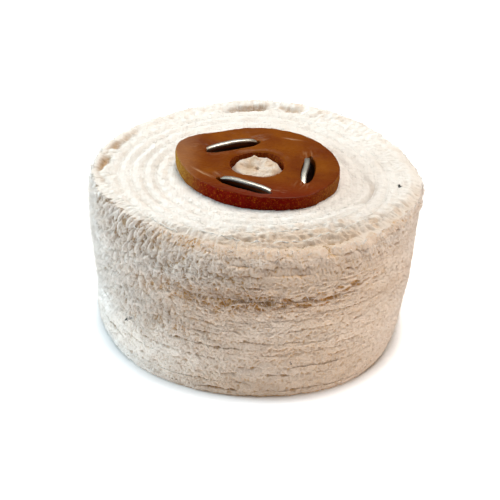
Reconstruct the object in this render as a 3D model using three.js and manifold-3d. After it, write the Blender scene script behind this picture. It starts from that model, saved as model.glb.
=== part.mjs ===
// Sewn cotton polishing wheel with leather centre washers: 100 mm across, 2 inches thick, for a taper spindle.
// Twenty-four folds of cotton cloth are sewn in three sections of eight, and three wire staples clamp the
// sections between two leather washers. Millimetres, +Z up: Z is the spindle's axis, the wheel lies on its
// back washer, and the origin is on the axis in the plane of that washer's outer face.
import * as THREE from "three";
import { mergeVertices } from "three/addons/utils/BufferGeometryUtils.js";
import Module from "manifold-3d";

const wasm = await Module();
wasm.setup();

// Cotton folds
const WHEEL_RADIUS = 50;
const BASE_RADIUS = 48; // the folds near the back are worn a little smaller
const SECTION_COUNT = 3;
const FOLDS_PER_SECTION = 8;
const FOLD_COUNT = SECTION_COUNT * FOLDS_PER_SECTION;
const FOLD_THICKNESS = 1.5;
const FOLD_GAP = 0.25;
const SECTION_GAP = 1.3; // room for a row of stitches
const SPINDLE_HOLE_RADIUS = 3.2; // a pierced quarter-inch hole, which the taper spindle widens
const FOLD_SEGMENTS = 40;

// The front edge is rounded by wear: each of the last few folds is shorter than the one below it.
const SHOULDER_FOLDS = 3;
const SHOULDER_DEPTH = 4.2;
const FOOT_DEPTH = 0.9; // how much shorter the backmost fold is than its neighbour

// The back folds are loose outside the washer and sag towards whatever the wheel lies on.
const SAG = 3.2;
const SAGGING_FOLDS = 5;
const CLAMPED_RADIUS = 26;

// The cloth swells a little into the washers' holes.
const SWELL_RADIUS = 7.5;
const SWELL_HEIGHT = 1.8;

// Leather washers
// They are cut by hand, so the outline wanders from a circle: [angle, radius] of points on it.
const WASHER_OUTLINE = [
  [0, 24.5],
  [30, 23.9],
  [60, 24.2],
  [90, 23.5],
  [120, 22.8],
  [145, 24.2],
  [162, 25.5],
  [180, 24],
  [210, 21.8],
  [240, 21.6],
  [270, 22.9],
  [300, 25.4],
  [330, 25.2],
];
const BACK_WASHER_TURN = 100; // the back washer is the same, turned over and placed at this angle
const WASHER_HOLE_RADIUS = 8.3;
const WASHER_THICKNESS = 4;
const WASHER_SEGMENTS = 60;
const WASHER_HOLE_SEGMENTS = 24;
const REST_GAP = 0.3; // between pieces that bear on each other

// Wire staples: flat wire, with the crown on the front washer and the ends clenched on the back one
const WIRE_WIDTH = 2.2;
const WIRE_THICKNESS = 1.5;
const CROWN_HALF_LENGTH = 8.5; // from the staple's middle to the middle of a leg
const CROWN_RISE = 2.55;
const CROWN_PROUD = 0.9; // how far the crown stands above the leather
const CLENCH_RADIUS = 1.1;
const CLENCH_HEIGHT = 1.1; // of the middle of the clenched wire above the back washer's face
const CLENCH_TIP = 1.6; // distance of each clenched tip from the staple's middle
const LEG_CLEARANCE = 0.3;
const STAPLES = [
  { angle: 125, radius: 14.8, lean: -7 },
  { angle: 259, radius: 14.3, lean: -16 },
  { angle: 348, radius: 14.7, lean: 7 },
];
// Each crown and each clench is pulled down into a boat-shaped pocket in the leather.
const POCKET_HALF_LENGTH = 11.5;
const POCKET_HALF_WIDTH = 2.7;
const POCKET_DEPTH = 3.2;

// Stitching: one spiral of thread on the front of each section
const THREAD_WIDTH = 0.5;
const THREAD_GAP = 0.15;
const STITCH_PITCH = 3.7;
const STITCH_OUTER_RADIUS = 42;
const STITCH_INNER_RADIUS = 27; // the rows between the washers are left out
const STITCH_START = -140; // angle of the spiral's inner end
const STITCH_STEPS_PER_TURN = 24;

// Heights worked out from the sizes above
const CORE_BOTTOM = WASHER_THICKNESS + REST_GAP;
const CORE_TOP = foldBase(FOLD_COUNT - 1) + FOLD_THICKNESS;
const FRONT_WASHER_BOTTOM = CORE_TOP + REST_GAP;
const FRONT_FACE = FRONT_WASHER_BOTTOM + WASHER_THICKNESS;

const cotton = new THREE.MeshStandardMaterial({ color: 0xe9dfd0, roughness: 0.95, metalness: 0 });
const leather = new THREE.MeshStandardMaterial({ color: 0x8f4f1a, roughness: 0.4, metalness: 0 });
const steel = new THREE.MeshStandardMaterial({ color: 0xa9a49b, roughness: 0.35, metalness: 1 });
const thread = new THREE.MeshStandardMaterial({ color: 0xf1ebde, roughness: 0.8, metalness: 0 });

// Height of a fold's underside where the washers clamp it; fold 0 is the backmost.
function foldBase(fold) {
  const sectionsBelow = Math.floor(fold / FOLDS_PER_SECTION);
  return CORE_BOTTOM + fold * (FOLD_THICKNESS + FOLD_GAP) + sectionsBelow * (SECTION_GAP - FOLD_GAP);
}

function foldRadius(fold) {
  const worn = THREE.MathUtils.lerp(BASE_RADIUS, WHEEL_RADIUS, fold / (FOLD_COUNT - 1 - SHOULDER_FOLDS));
  const fromFront = FOLD_COUNT - 1 - fold;
  const shoulder = Math.max(0, 1 - fromFront / SHOULDER_FOLDS) ** 2 * SHOULDER_DEPTH;
  const foot = fold === 0 ? FOOT_DEPTH : 0;
  return Math.min(worn, WHEEL_RADIUS) - shoulder - foot;
}

// How far a fold has sagged at a distance from the axis.
function sagAt(fold, radius) {
  const share = Math.max(0, 1 - fold / SAGGING_FOLDS);
  const out = Math.max(0, (radius - CLAMPED_RADIUS) / (foldRadius(fold) - CLAMPED_RADIUS));
  return SAG * share * Math.min(1, out);
}

// manifold-3d solids and three.js geometries hold the same triangles; these two convert between them.
function solidFrom(geometry) {
  const bare = geometry.clone();
  bare.deleteAttribute("normal");
  bare.deleteAttribute("uv");
  const merged = mergeVertices(bare, 1e-3);
  return new wasm.Manifold(
    new wasm.Mesh({
      numProp: 3,
      vertProperties: merged.attributes.position.array,
      triVerts: new Uint32Array(merged.index.array),
    }),
  );
}

function geometryFrom(solid) {
  const mesh = solid.getMesh();
  const geometry = new THREE.BufferGeometry();
  geometry.setAttribute("position", new THREE.BufferAttribute(mesh.vertProperties, 3));
  geometry.setIndex(new THREE.BufferAttribute(mesh.triVerts, 1));
  geometry.computeVertexNormals();
  return geometry;
}

function cutAll(geometry, cutters) {
  return geometryFrom(cutters.reduce((solid, cutter) => solid.subtract(cutter), solidFrom(geometry)));
}

// A staple's own frame: x runs along the crown, y away from the wheel's axis, and z up.
function stapleMatrix({ angle, radius, lean }) {
  const turn = THREE.MathUtils.degToRad(angle);
  const place = new THREE.Matrix4().makeTranslation(radius * Math.cos(turn), radius * Math.sin(turn), 0);
  const yaw = new THREE.Matrix4().makeRotationZ(turn - Math.PI / 2 + THREE.MathUtils.degToRad(lean));
  return place.multiply(yaw);
}

function legHoles() {
  const size = [WIRE_THICKNESS + 2 * LEG_CLEARANCE, WIRE_WIDTH + 2 * LEG_CLEARANCE, 4 * FRONT_FACE];
  return STAPLES.flatMap((staple) =>
    [-1, 1].map((side) => {
      const hole = new THREE.BoxGeometry(...size);
      hole.translate(side * CROWN_HALF_LENGTH, 0, 0);
      return solidFrom(hole.applyMatrix4(stapleMatrix(staple)));
    }),
  );
}

function pockets(faceHeight) {
  return STAPLES.map((staple) => {
    const pocket = new THREE.SphereGeometry(1, 20, 8).rotateX(Math.PI / 2);
    pocket.scale(POCKET_HALF_LENGTH, POCKET_HALF_WIDTH, POCKET_DEPTH);
    pocket.translate(0, 0, faceHeight);
    return solidFrom(pocket.applyMatrix4(stapleMatrix(staple)));
  });
}

// One fold as a ring turned about the axis. The frontmost and backmost folds swell into the washers' holes,
// and only the sagging folds change slope outside the washers.
function foldGeometry(fold, cutters) {
  const low = foldBase(fold);
  const high = low + FOLD_THICKNESS;
  const rim = foldRadius(fold);
  const drop = sagAt(fold, rim);
  const shelf = SWELL_RADIUS - 0.8;
  const profile = [[SPINDLE_HOLE_RADIUS, fold === 0 ? low - SWELL_HEIGHT : low]];
  if (fold === 0) profile.push([shelf, low - SWELL_HEIGHT], [SWELL_RADIUS, low]);
  if (drop > 0) profile.push([CLAMPED_RADIUS, low]);
  profile.push([rim, low - drop], [rim, high - drop]);
  if (drop > 0) profile.push([CLAMPED_RADIUS, high]);
  if (fold === FOLD_COUNT - 1) profile.push([SWELL_RADIUS, high], [shelf, high + SWELL_HEIGHT]);
  profile.push([SPINDLE_HOLE_RADIUS, fold === FOLD_COUNT - 1 ? high + SWELL_HEIGHT : high], profile[0]);
  const ring = new THREE.LatheGeometry(profile.map(([r, z]) => new THREE.Vector2(r, z)), FOLD_SEGMENTS);
  return cutAll(ring.rotateX(Math.PI / 2), cutters);
}

// The front washer's outline, counted anticlockwise; the back washer's is its mirror image, turned.
function washerOutline(isBack) {
  const corners = WASHER_OUTLINE.map(([angle, radius]) => {
    const turn = THREE.MathUtils.degToRad(isBack ? BACK_WASHER_TURN - angle : angle);
    return new THREE.Vector3(radius * Math.cos(turn), radius * Math.sin(turn), 0);
  });
  const loop = new THREE.CatmullRomCurve3(isBack ? corners.reverse() : corners, true);
  return loop.getSpacedPoints(WASHER_SEGMENTS).slice(1).map((point) => new THREE.Vector2(point.x, point.y));
}

function washerGeometry(bottom, isBack, cutters) {
  const shape = new THREE.Shape(washerOutline(isBack));
  const hole = new THREE.Path().absarc(0, 0, WASHER_HOLE_RADIUS, 0, 2 * Math.PI);
  shape.holes.push(new THREE.Path(hole.getSpacedPoints(WASHER_HOLE_SEGMENTS)));
  const disc = new THREE.ExtrudeGeometry(shape, { depth: WASHER_THICKNESS, bevelEnabled: false });
  return cutAll(disc.translate(0, 0, bottom), cutters);
}

// The staple's centreline in its own plane, from one clenched tip over the crown to the other.
function staplePath() {
  const crownSpring = FRONT_FACE + CROWN_PROUD - WIRE_THICKNESS / 2 - CROWN_RISE;
  const bend = CROWN_HALF_LENGTH - CLENCH_RADIUS;
  const bendCentre = CLENCH_HEIGHT + CLENCH_RADIUS;
  const tipHeight = CLENCH_HEIGHT + 0.4;
  const path = new THREE.Path();
  path.moveTo(-CLENCH_TIP, tipHeight);
  path.lineTo(-bend, CLENCH_HEIGHT);
  path.absarc(-bend, bendCentre, CLENCH_RADIUS, 1.5 * Math.PI, Math.PI, true);
  path.lineTo(-CROWN_HALF_LENGTH, crownSpring);
  path.absellipse(0, crownSpring, CROWN_HALF_LENGTH, CROWN_RISE, Math.PI, 0, true);
  path.lineTo(CROWN_HALF_LENGTH, bendCentre);
  path.absarc(bend, bendCentre, CLENCH_RADIUS, 0, 1.5 * Math.PI, true);
  path.lineTo(CLENCH_TIP, tipHeight);
  return path;
}

// Leaves out points that lie too close to the one kept before them.
function thinOut(points, spacing) {
  const kept = [points[0]];
  for (const point of points) if (point.distanceTo(kept.at(-1)) >= spacing) kept.push(point);
  return kept;
}

// A closed outline that runs at half the wire's thickness on each side of the centreline. Points crowd
// together on the inside of the bends, so both sides are thinned out.
function stapleOutline() {
  const centre = thinOut(staplePath().getPoints(6), 0.05);
  const side = (sign) =>
    centre.map((point, k) => {
      const before = centre[Math.max(0, k - 1)];
      const after = centre[Math.min(centre.length - 1, k + 1)];
      const along = after.clone().sub(before).normalize();
      const across = new THREE.Vector2(-along.y, along.x);
      return point.clone().addScaledVector(across, (sign * WIRE_THICKNESS) / 2);
    });
  return [...thinOut(side(-1), 0.15), ...thinOut(side(1), 0.15).reverse()];
}

function stapleGeometry(staple) {
  const wire = new THREE.ExtrudeGeometry(new THREE.Shape(stapleOutline()), {
    depth: WIRE_WIDTH,
    bevelEnabled: false,
  });
  wire.translate(0, 0, -WIRE_WIDTH / 2).rotateX(Math.PI / 2);
  return wire.applyMatrix4(stapleMatrix(staple));
}

// A thread is a flat strip wound in a spiral on the front of its section.
function threadGeometry(section) {
  const turns = (STITCH_OUTER_RADIUS - STITCH_INNER_RADIUS) / STITCH_PITCH;
  const steps = Math.round(turns * STITCH_STEPS_PER_TURN);
  const edge = (offset) =>
    Array.from({ length: steps + 1 }, (_, k) => {
      const radius = THREE.MathUtils.lerp(STITCH_INNER_RADIUS, STITCH_OUTER_RADIUS, k / steps) + offset;
      const angle = THREE.MathUtils.degToRad(STITCH_START + (360 * turns * k) / steps);
      return new THREE.Vector2(radius * Math.cos(angle), radius * Math.sin(angle));
    });
  const outline = [...edge(THREAD_WIDTH / 2), ...edge(-THREAD_WIDTH / 2).reverse()];
  const strip = new THREE.ExtrudeGeometry(new THREE.Shape(outline), {
    depth: THREAD_WIDTH,
    bevelEnabled: false,
  });
  const sectionTop = foldBase((section + 1) * FOLDS_PER_SECTION - 1) + FOLD_THICKNESS;
  return strip.translate(0, 0, sectionTop + THREAD_GAP);
}

const wheel = new THREE.Group();

function add(name, geometry, material) {
  const mesh = new THREE.Mesh(geometry, material);
  mesh.name = name;
  wheel.add(mesh);
}

const holes = legHoles();
for (let fold = 0; fold < FOLD_COUNT; fold++) {
  const number = String(fold + 1).padStart(2, "0");
  add(`cotton_fold_${number}`, foldGeometry(fold, holes), cotton);
}
for (let section = 0; section < SECTION_COUNT; section++) {
  add(`stitch_thread_${section + 1}`, threadGeometry(section), thread);
}
const backCuts = [...holes, ...pockets(0)];
add("back_leather_washer", washerGeometry(0, true, backCuts), leather);
const frontCuts = [...holes, ...pockets(FRONT_FACE)];
add("front_leather_washer", washerGeometry(FRONT_WASHER_BOTTOM, false, frontCuts), leather);
STAPLES.forEach((staple, k) => add(`wire_staple_${k + 1}`, stapleGeometry(staple), steel));

export default wheel;
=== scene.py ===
# A sewn cotton polishing wheel with leather centre washers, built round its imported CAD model.
# Twenty-four frayed folds of cloth, their fringes and stitching, two warped leather washers and three wire
# staples are made here as meshes. Sizes in this script are millimetres until mesh_from() writes metres.
import math

import bpy
import numpy as np
from mathutils import Matrix, Vector


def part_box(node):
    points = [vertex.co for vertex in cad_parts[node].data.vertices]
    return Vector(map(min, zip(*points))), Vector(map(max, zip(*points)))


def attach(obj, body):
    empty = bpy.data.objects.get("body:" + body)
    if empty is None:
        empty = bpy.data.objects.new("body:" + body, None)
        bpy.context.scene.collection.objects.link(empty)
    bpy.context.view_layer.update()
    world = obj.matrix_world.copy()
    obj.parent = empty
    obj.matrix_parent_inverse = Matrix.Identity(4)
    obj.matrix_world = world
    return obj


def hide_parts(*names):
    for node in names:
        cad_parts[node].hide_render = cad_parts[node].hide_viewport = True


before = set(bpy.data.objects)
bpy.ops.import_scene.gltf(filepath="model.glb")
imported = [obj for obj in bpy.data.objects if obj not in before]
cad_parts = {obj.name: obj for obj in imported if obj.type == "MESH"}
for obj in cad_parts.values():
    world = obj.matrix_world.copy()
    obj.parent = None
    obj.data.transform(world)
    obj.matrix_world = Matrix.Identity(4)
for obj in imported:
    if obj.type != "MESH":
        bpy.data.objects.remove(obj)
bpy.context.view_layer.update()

MM = 0.001
FOLDS = 24
FOLDS_PER_SECTION = 8


# ---------------------------------------------------------------- camera
SENSOR_WIDTH = 36
CAMERA_DISTANCE = 0.496
CAMERA_ELEVATION = 29.2
CAMERA_ROLL = 3.0
FOCAL_WIDTHS = 3.228  # focal length over picture width
PRINCIPAL_POINT = (0.5064, 0.4868)  # where the view's axis meets the picture, in widths from its top left
TARGET_HEIGHT = 0.0245


def add_camera():
    data = bpy.data.cameras.new("camera")
    data.sensor_width = SENSOR_WIDTH
    data.lens = SENSOR_WIDTH * FOCAL_WIDTHS
    data.shift_x = 0.5 - PRINCIPAL_POINT[0]
    data.shift_y = PRINCIPAL_POINT[1] - 0.5
    data.clip_end = 20
    camera = bpy.data.objects.new("camera", data)
    bpy.context.scene.collection.objects.link(camera)
    rise = math.radians(CAMERA_ELEVATION)
    back = Vector((0, -math.cos(rise), math.sin(rise)))
    place = Vector((0, 0, TARGET_HEIGHT)) + back * CAMERA_DISTANCE
    look = back.to_track_quat("Z", "Y").to_matrix().to_4x4()
    roll = Matrix.Rotation(math.radians(CAMERA_ROLL), 4, "Z")
    camera.matrix_world = Matrix.Translation(place) @ look @ roll
    bpy.context.scene.camera = camera


# ---------------------------------------------------------------- light and floor
LIGHT_AIM_HEIGHT = 0.03
FLOOR_HALF_WIDTH = 3.0
GLOW_START, GLOW_FULL = 0.0464, 0.0514  # distances from the axis: no glow under the wheel, which paints its contact shadow, and all of it outside
FLOOR_GLOW = 0.6


def add_area_light(name, place, size, power, colour):
    data = bpy.data.lights.new(name, "AREA")
    data.shape = "DISK"
    data.size = size
    data.energy = power
    data.color = colour
    light = bpy.data.objects.new(name, data)
    bpy.context.scene.collection.objects.link(light)
    light.location = place
    aim = Vector((0, 0, LIGHT_AIM_HEIGHT)) - Vector(place)
    light.rotation_euler = aim.to_track_quat("-Z", "Y").to_euler()


def add_light():
    world = bpy.data.worlds.new("studio")
    bpy.context.scene.world = world
    world.use_nodes = True
    background = world.node_tree.nodes["Background"]
    background.inputs["Color"].default_value = (0.95, 0.97, 1.0, 1)
    background.inputs["Strength"].default_value = 0.1
    add_area_light("overhead", (0.12, 0.25, 0.9), 0.6, 8.1, (1.0, 0.98, 0.95))
    add_area_light("back_softbox", (-0.3, 0.6, 0.95), 0.6, 1.5, (1.0, 0.99, 0.97))
    add_area_light("left_fill", (-0.9, 0.0, 0.3), 0.4, 8.2, (0.68, 0.88, 1.0))
    add_area_light("right_fill", (0.9, -0.15, 0.32), 0.5, 2.2, (1.0, 0.87, 0.74))
    bpy.context.scene.view_settings.view_transform = "Standard"


def add_floor():
    mesh = bpy.data.meshes.new("floor")
    half = FLOOR_HALF_WIDTH
    corners = [(-half, -half, 0), (half, -half, 0), (half, half, 0), (-half, half, 0)]
    mesh.from_pydata(corners, [], [(0, 1, 2, 3)])
    floor = bpy.data.objects.new("floor", mesh)
    bpy.context.scene.collection.objects.link(floor)
    material, tree, shader = new_material("floor_paper")
    set_inputs(shader, Base_Color=(0.97, 0.97, 0.97, 1), Roughness=1, Specular_IOR_Level=0)
    set_inputs(shader, Emission_Color=(1, 1, 1, 1))
    from_axis = tree.nodes.new("ShaderNodeVectorMath")
    from_axis.operation = "LENGTH"
    tree.links.new(object_coordinates(tree), from_axis.inputs[0])
    # The glow is cut out under the wheel to paint a contact shadow round its foot.
    glow = map_range(tree, from_axis.outputs["Value"], GLOW_START, GLOW_FULL, 0.0, FLOOR_GLOW)
    tree.links.new(glow, shader.inputs["Emission Strength"])
    mesh.materials.append(material)


# ---------------------------------------------------------------- noise
TABLE = 256


def wrapped(cells, around):
    return np.mod(cells, around if around else TABLE)


def gradient_noise(u, v, seed, around=None):
    """Smooth noise, about -1 to 1, with one bump to a cell. It repeats after `around` cells of u."""
    tilt = np.random.default_rng(seed).random((TABLE * 4, TABLE)) * 2 * np.pi
    i, j = np.floor(u).astype(int), np.floor(v).astype(int)
    x, y = u - i, v - j
    total = 0
    for di in (0, 1):
        for dj in (0, 1):
            angle = tilt[wrapped(i + di, around), np.mod(j + dj, TABLE)]
            slope = np.cos(angle) * (x - di) + np.sin(angle) * (y - dj)
            weight = fade(1 - np.abs(x - di)) * fade(1 - np.abs(y - dj))
            total = total + slope * weight
    return total * 1.5


def ring_noise(theta, cells, v, seed):
    """Smooth noise that closes on itself round the axis, with a number of cells to the turn."""
    return gradient_noise(theta / (2 * np.pi) * cells, v, seed, cells)


def cell_noise(u, v, seed, around):
    """Distances to the nearest and second nearest of one random point in each cell, and a random share
    from 0 to 1 for the nearest point's cell."""
    points = np.random.default_rng(seed).random((3, TABLE * 4, TABLE))
    i0, j0 = np.floor(u).astype(int), np.floor(v).astype(int)
    nearest = np.full(np.shape(u), 9.0)
    second = nearest.copy()
    share = np.zeros(np.shape(u))
    for di in (-1, 0, 1):
        for dj in (-1, 0, 1):
            i, j = wrapped(i0 + di, around), np.mod(j0 + dj, TABLE)
            away = np.hypot(i0 + di + points[0, i, j] - u, j0 + dj + points[1, i, j] - v)
            closer = away < nearest
            second = np.where(closer, nearest, np.minimum(second, away))
            share = np.where(closer, points[2, i, j], share)
            nearest = np.where(closer, away, nearest)
    return nearest, second, share


def fade(t):
    t = np.clip(t, 0, 1)
    return t * t * (3 - 2 * t)


def ramp(value, start, end):
    """0 before start, 1 after end, and smooth between them. Start may be the larger."""
    return fade((value - start) / (end - start))


def bump(value, centre, half_width):
    """1 at centre, and smoothly 0 at half_width from it."""
    return fade(1 - np.abs(value - centre) / half_width)


def degrees_from(theta, centre):
    """The angle from centre to theta, -180 to 180 degrees. Centre is in degrees and theta in radians."""
    return np.mod(np.degrees(theta) - centre + 180, 360) - 180


def angle_bump(theta, centre, half_width):
    """As bump, for angles in degrees."""
    return fade(1 - np.abs(degrees_from(theta, centre)) / half_width)


# ---------------------------------------------------------------- meshes
def mesh_from(name, points, faces, materials, wear_and_shade, face_material=None):
    """An object from points in mm and a list of face arrays, one array for each face size."""
    mesh = bpy.data.meshes.new(name)
    mesh.vertices.add(len(points))
    mesh.vertices.foreach_set("co", (points * MM).astype(np.float32).ravel())
    sizes = np.concatenate([np.full(len(f), f.shape[1]) for f in faces])
    corners = np.concatenate([f.ravel() for f in faces])
    mesh.loops.add(len(corners))
    mesh.loops.foreach_set("vertex_index", corners.astype(np.int32))
    mesh.polygons.add(len(sizes))
    mesh.polygons.foreach_set("loop_start", (np.cumsum(sizes) - sizes).astype(np.int32))
    mesh.polygons.foreach_set("use_smooth", np.ones(len(sizes), bool))
    for material in materials:
        mesh.materials.append(material)
    if face_material is not None:
        mesh.polygons.foreach_set("material_index", face_material.astype(np.int32))
    # Colour channels that hold painted shade and painted highlights as well as tan, flecks of dirt, tarnish
    # and the cut-edge flag.
    layer = mesh.color_attributes.new("wear_and_shade", "FLOAT_COLOR", "POINT")
    rgba = np.concatenate([wear_and_shade, np.ones((len(points), 1))], axis=1)
    layer.data.foreach_set("color", rgba.astype(np.float32).ravel())
    mesh.update(calc_edges=True)
    mesh.validate()
    piece = bpy.data.objects.new(name, mesh)
    bpy.context.scene.collection.objects.link(piece)
    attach(piece, "root")
    return piece


def ring_faces(rows, columns):
    """Faces of a grid of points that closes on itself both ways."""
    index = np.arange(rows * columns).reshape(rows, columns)
    right, up = np.roll(index, -1, axis=1), np.roll(index, -1, axis=0)
    return np.stack([index, right, np.roll(up, -1, axis=1), up], axis=-1).reshape(-1, 4)


def grid_mesh(name, points, materials, wear_and_shade, face_material=None):
    """An object from a grid of points, rows x columns x 3, that closes on itself both ways."""
    faces = ring_faces(*points.shape[:2])
    return mesh_from(name, points.reshape(-1, 3), [faces], materials, wear_and_shade.reshape(-1, 3), face_material)


def round_the_axis(radius, theta, height):
    return np.stack([radius * np.cos(theta), radius * np.sin(theta), height + 0 * radius], axis=-1)


def strand_mesh(name, paths, radii, materials, wear_and_shade, sides=3):
    """One mesh of many thin tapered tubes. Paths is strands x points x 3, and radii is strands x points."""
    strands, steps = paths.shape[:2]
    along = np.gradient(paths, axis=1)
    along /= np.linalg.norm(along, axis=-1, keepdims=True) + 1e-9
    helper = np.where(np.abs(along[:, :1, 2:]) > 0.8, [[[1.0, 0, 0]]], [[[0, 0, 1.0]]])
    side = np.cross(along, helper)
    side /= np.linalg.norm(side, axis=-1, keepdims=True) + 1e-9
    other = np.cross(along, side)
    turn = np.arange(sides) * 2 * np.pi / sides
    offset = np.cos(turn)[:, None] * side[:, :, None] + np.sin(turn)[:, None] * other[:, :, None]
    tubes = paths[:, :, None] + radii[:, :, None, None] * offset
    index = np.arange(strands * steps * sides).reshape(strands, steps, sides)
    right = np.roll(index, -1, axis=2)
    walls = np.stack([index[:, :-1], index[:, 1:], right[:, 1:], right[:, :-1]], axis=-1).reshape(-1, 4)
    caps = np.concatenate([index[:, 0], index[:, -1, ::-1]])
    tint = np.repeat(wear_and_shade, steps * sides, axis=0)
    return mesh_from(name, tubes.reshape(-1, 3), [walls, caps], materials, tint)


# ---------------------------------------------------------------- the folds as the CAD holds them
def box_mm(node):
    low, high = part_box(node)
    return np.array(low) / MM, np.array(high) / MM


def fold_node(fold):
    return f"cotton_fold_{fold + 1:02d}"


boxes = [box_mm(fold_node(fold)) for fold in range(FOLDS)]
MIDDLE = FOLDS // 2
FOLD_THICKNESS = boxes[MIDDLE][1][2] - boxes[MIDDLE][0][2]
fold_top = np.array([high[2] for low, high in boxes])
fold_top[-1] = boxes[-1][0][2] + FOLD_THICKNESS  # without its swelling into the washer's hole
fold_base = fold_top - FOLD_THICKNESS
fold_sag = np.maximum(0, fold_base - np.array([low[2] for low, high in boxes]))
CORE_TOP = fold_top[-1]
CLAMPED_RADIUS = 26.0

# Boundaries between the folds' rims, where they have sagged: FOLDS + 1 heights.
REST_GAP = 0.3  # between the lowest rim and what the wheel lies on
fold_sag *= (fold_base[0] - REST_GAP) / fold_sag[0]
rim_top, rim_base = fold_top - fold_sag, fold_base - fold_sag
boundary = np.concatenate([[rim_base[0]], (rim_top[:-1] + rim_base[1:]) / 2, [rim_top[-1]]])
FRONT_GAP = 2 * FOLDS_PER_SECTION  # the boundary between the second and third sections

# The rim's outline from the side: worn smaller towards the back, and rounded at the front edge.
SHOULDER_START = 38.0
SHOULDER_DEPTH_FRONT = 10.6
SHOULDER_DEPTH_BACK = 0.2
FLANK_HEIGHTS = (0, 2.0, 6, 14, 26, 41, CORE_TOP)
FLANK_RADII = (47.3, 48.1, 48.1, 48.0, 48.4, 49.3, 49.8)


def flank(theta, height):
    """The rim's radius without its tufts."""
    depth = SHOULDER_DEPTH_BACK + (SHOULDER_DEPTH_FRONT - SHOULDER_DEPTH_BACK) * angle_bump(theta, 276, 98)
    shoulder = np.clip((height - SHOULDER_START) / (CORE_TOP - SHOULDER_START), 0, 1) ** 1.6
    worn_left = 1.3 * angle_bump(theta, 192, 50) * bump(height, 14, 20)
    foot = 2.7 * angle_bump(theta, 346, 42) * np.clip((19 - height) / 19, 0, 1)
    foot = foot + 1.3 * angle_bump(theta, 198, 38) * np.clip((13 - height) / 13, 0, 1)
    lean_back = 0.7 * angle_bump(theta, 60, 80) * ramp(height, 26, 46)
    flare = 1.1 * angle_bump(theta, 358, 28) * ramp(height, 40, 45)
    plain = np.interp(height, FLANK_HEIGHTS, FLANK_RADII)
    return plain - depth * shoulder - worn_left - foot + lean_back + flare


FRONT_DROOP = 2.7  # how far the front fold's rim hangs below its sewn part, at the front


def back_lift(theta, radius):
    """How far the cloth stands up behind, where the loose edge of the front folds has curled."""
    behind = angle_bump(theta, 82, 74)
    sunk = 0.8 * angle_bump(theta, 126, 34) * ramp(radius, 36, 48)
    return behind * (1.3 * ramp(radius, 27, 45) + 0.95 * ramp(radius, 44, 49)) - sunk


def shoulder_radius(theta):
    """Where the flat top ends and the worn shoulder begins."""
    return 47 - 14.5 * angle_bump(theta, 283, 85) ** 0.8


# ---------------------------------------------------------------- frayed rims
def boundary_wave(theta, which):
    """How far a boundary between folds rises or dips as it goes round. Neighbours move together."""
    slow = ring_noise(theta, 7, which * 0.22, 11) * 0.6
    quick = ring_noise(theta, 34, which * 0.4, 12) * 0.45
    fine = ring_noise(theta, 130, which * 1.3, 13) * 0.32
    inside = ramp(which, 0, 2) * ramp(which, FOLDS, FOLDS - 2)
    curled = back_lift(theta, 50.0) * ramp(which, FOLDS - 7, FOLDS)
    pulled_down = 1.2 * angle_bump(theta, 272, 75) * np.exp(-(((which - FRONT_GAP) / 4) ** 2))
    droop = FRONT_DROOP * angle_bump(theta, 298, 122) * ramp(which, 14, FOLDS)
    return (slow + quick + fine) * (0.25 + 0.75 * inside) + curled - pulled_down - droop


def boundary_height(theta, which):
    return np.take(boundary, which) + boundary_wave(theta, np.asarray(which, float))


def opening(theta, which):
    """Half the gap at a boundary, and the depth that the folds' edges are rounded by there."""
    patchy = ring_noise(theta, 30, which * 3.7, 21) + ring_noise(theta, 120, which * 5.3, 22)
    loose = 0.25 + 0.75 * (which % 2) + 0.35 * angle_bump(theta, 262, 50) * ramp(which, 12, 2)
    loose = loose + 0.9 * angle_bump(theta, 290, 50) * ramp(which, 19, 21)
    matted = 0.9 * angle_bump(theta, 210, 58) * ramp(which, 4, 12)
    matted = matted + 1.1 * angle_bump(theta, 338, 60) * (which < 20)
    open_share = ramp(patchy, 0.1, 1.0) * np.clip(loose - matted, 0, 1)
    gaping = np.where(which == FRONT_GAP, angle_bump(theta, 268, 56) ** 0.5, 0.0)
    gaping = gaping + np.where(which == FOLDS_PER_SECTION, 0.35 * angle_bump(theta, 262, 70), 0.0)
    torn = ring_noise(theta, 64, 0.5, 23) + 0.7 * ring_noise(theta, 170, 0.5, 24)
    gaping = gaping * ramp(torn, 0.1, 0.5) * (0.1 + 0.9 * ramp(patchy, -0.3, 0.6))
    free = np.clip(1 - matted, 0.1, 1)
    return 0.005 + 0.06 * open_share + 0.07 * gaping, 0.04 * free + 0.75 * open_share + 0.7 * gaping


def tuft_cells(u, v, seed, around, top, crack, crack_width):
    """Rounded tufts, one to a cell, of uneven height, with cracks between them."""
    near, second, share = cell_noise(u, v, seed, around)
    return top - near - crack * np.exp(-(((second - near) / crack_width) ** 2)) + 0.35 * (share - 0.5)


TALL_TUFTS = 205  # tufts in a turn where the yarn is combed upright
WIDE_TUFTS = 250  # tufts in a turn where it is matted flat


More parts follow.
